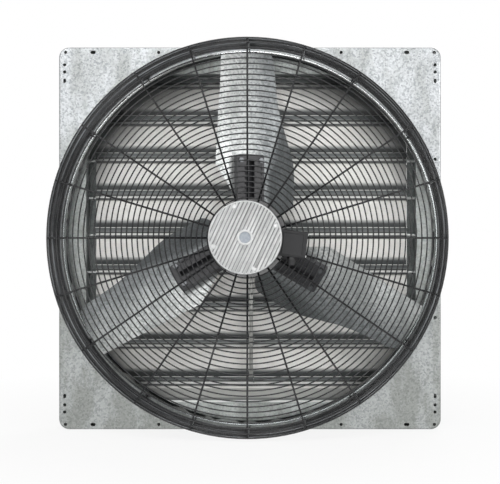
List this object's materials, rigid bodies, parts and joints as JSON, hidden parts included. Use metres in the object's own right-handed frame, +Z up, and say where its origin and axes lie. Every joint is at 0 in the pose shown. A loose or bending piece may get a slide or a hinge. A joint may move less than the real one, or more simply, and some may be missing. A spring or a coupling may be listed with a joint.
{
  "type": "shutter exhaust fan",
  "caption": "Wall exhaust fan: square galvanised panel and housing, deep round wire guard that carries the motor, wide-bladed rotor, and gravity shutter behind.",
  "frame": {"origin": "where the fan axis meets the front face of the square panel, which is also the centre of the panel's corner holes", "axes": "+Y along the fan axis to the outdoor, shutter side; -Y is the room side with the guard and motor; +Z up; +X right as seen from the room"},
  "size_m": [0.9568, 0.434, 0.9568],
  "materials": {
    "galvanised_panel": "hot-dip galvanised sheet with a fine spangle",
    "orifice_steel": "bright galvanised sheet, smooth",
    "rivet_metal": "plain aluminium rivets",
    "frame_steel": "galvanised sheet, slightly dull",
    "pin_steel": "plain zinc-plated pins",
    "guard_wire": "black powder coat, satin",
    "zinc_hardware": "zinc-plated hardware",
    "motor_paint": "dark grey enamel, semi-gloss",
    "cap_casting": "as-cast aluminium",
    "badge_blank": "blue-grey paint, plain",
    "lamination": "stacked steel laminations",
    "copper_winding": "enamelled copper wire",
    "ground_steel": "ground steel",
    "box_plastic": "dark grey moulding",
    "block_plastic": "ivory moulding",
    "gland_plastic": "black nylon",
    "hub_iron": "painted casting",
    "holder_plastic": "black glass-filled moulding",
    "blade_steel": "galvanised sheet with a spangle",
    "slat_aluminium": "mill-finish aluminium sheet",
    "tie_aluminium": "plain aluminium bar"
  },
  "bodies": {
    "housing": {"panel": "galvanised_panel", "orifice_ring": "orifice_steel", "housing_side_left": "galvanised_panel", "housing_side_right": "galvanised_panel", "housing_top": "galvanised_panel", "housing_bottom": "galvanised_panel", "housing_rivets": "rivet_metal", "shutter_jamb_left": "frame_steel", "shutter_jamb_right": "frame_steel", "shutter_header": "frame_steel", "shutter_sill": "frame_steel", "slat_pivot_pins": "pin_steel", "guard_side_cage": "guard_wire", "guard_side_stays": "guard_wire", "guard_face_rings_outer": "guard_wire", "guard_face_rings_inner": "guard_wire", "guard_face_spokes": "guard_wire", "guard_hub_plate": "guard_wire", "guard_feet": "guard_wire", "guard_hooks": "guard_wire", "guard_screws": "zinc_hardware", "motor_shell": "motor_paint", "motor_rear_cap": "cap_casting", "cap_blank_disc": "badge_blank", "motor_front_bell": "motor_paint", "motor_stator": "lamination", "stator_windings": "copper_winding", "motor_through_bolts": "zinc_hardware", "bearing_rear": "ground_steel", "bearing_front": "ground_steel", "motor_mount_screws": "zinc_hardware", "terminal_box": "box_plastic", "terminal_box_lid": "box_plastic", "terminal_box_screws": "zinc_hardware", "terminal_block": "block_plastic", "cord_gland": "gland_plastic"},
    "rotor": {"motor_shaft": "ground_steel", "rotor_core": "lamination", "shaft_key": "ground_steel", "blade_hub": "hub_iron", "hub_retainer": "zinc_hardware", "blade_holder_1": "holder_plastic", "blade_holder_2": "holder_plastic", "blade_holder_3": "holder_plastic", "blade_1": "blade_steel", "blade_2": "blade_steel", "blade_3": "blade_steel", "blade_bolts": "zinc_hardware", "holder_bolts": "zinc_hardware"},
    "slat_1": {"slat_1": "slat_aluminium"},
    "slat_2": {"slat_2": "slat_aluminium"},
    "slat_3": {"slat_3": "slat_aluminium"},
    "slat_4": {"slat_4": "slat_aluminium"},
    "slat_5": {"slat_5": "slat_aluminium"},
    "slat_6": {"slat_6": "slat_aluminium"},
    "slat_7": {"slat_7": "slat_aluminium"},
    "slat_8": {"slat_8": "slat_aluminium"},
    "slat_9": {"slat_9": "slat_aluminium"},
    "tie_bar": {"tie_bar": "tie_aluminium", "tie_pins": "tie_aluminium"}
  },
  "joints": [
    {"name": "rotor_spin", "type": "hinge", "parent": "housing", "child": "rotor", "pos_m": [0, 0, 0], "axis": [0, 1, 0], "continuous": true},
    {"name": "slat_1_swing", "type": "hinge", "parent": "housing", "child": "slat_1", "pos_m": [0, 0.105, 0.3942], "axis": [1, 0, 0], "range_deg": [0, 75]},
    {"name": "slat_2_swing", "type": "hinge", "parent": "housing", "child": "slat_2", "pos_m": [0, 0.105, 0.2979], "axis": [1, 0, 0], "range_deg": [0, 75]},
    {"name": "slat_3_swing", "type": "hinge", "parent": "housing", "child": "slat_3", "pos_m": [0, 0.105, 0.2016], "axis": [1, 0, 0], "range_deg": [0, 75]},
    {"name": "slat_4_swing", "type": "hinge", "parent": "housing", "child": "slat_4", "pos_m": [0, 0.105, 0.1053], "axis": [1, 0, 0], "range_deg": [0, 75]},
    {"name": "slat_5_swing", "type": "hinge", "parent": "housing", "child": "slat_5", "pos_m": [0, 0.105, 0.009], "axis": [1, 0, 0], "range_deg": [0, 75]},
    {"name": "slat_6_swing", "type": "hinge", "parent": "housing", "child": "slat_6", "pos_m": [0, 0.105, -0.0873], "axis": [1, 0, 0], "range_deg": [0, 75]},
    {"name": "slat_7_swing", "type": "hinge", "parent": "housing", "child": "slat_7", "pos_m": [0, 0.105, -0.1836], "axis": [1, 0, 0], "range_deg": [0, 75]},
    {"name": "slat_8_swing", "type": "hinge", "parent": "housing", "child": "slat_8", "pos_m": [0, 0.105, -0.2799], "axis": [1, 0, 0], "range_deg": [0, 75]},
    {"name": "slat_9_swing", "type": "hinge", "parent": "housing", "child": "slat_9", "pos_m": [0, 0.105, -0.3762], "axis": [1, 0, 0], "range_deg": [0, 75]},
    {"name": "tie_bar_swing", "type": "hinge", "parent": "slat_5", "child": "tie_bar", "pos_m": [0, 0.08096, 0.03304], "axis": [1, 0, 0], "range_deg": [-75, 0]}
  ],
  "couplings": [
    {"joint": "slat_1_swing", "follows": "slat_5_swing", "ratio": 1},
    {"joint": "slat_2_swing", "follows": "slat_5_swing", "ratio": 1},
    {"joint": "slat_3_swing", "follows": "slat_5_swing", "ratio": 1},
    {"joint": "slat_4_swing", "follows": "slat_5_swing", "ratio": 1},
    {"joint": "slat_6_swing", "follows": "slat_5_swing", "ratio": 1},
    {"joint": "slat_7_swing", "follows": "slat_5_swing", "ratio": 1},
    {"joint": "slat_8_swing", "follows": "slat_5_swing", "ratio": 1},
    {"joint": "slat_9_swing", "follows": "slat_5_swing", "ratio": 1},
    {"joint": "tie_bar_swing", "follows": "slat_5_swing", "ratio": -1}
  ]
}
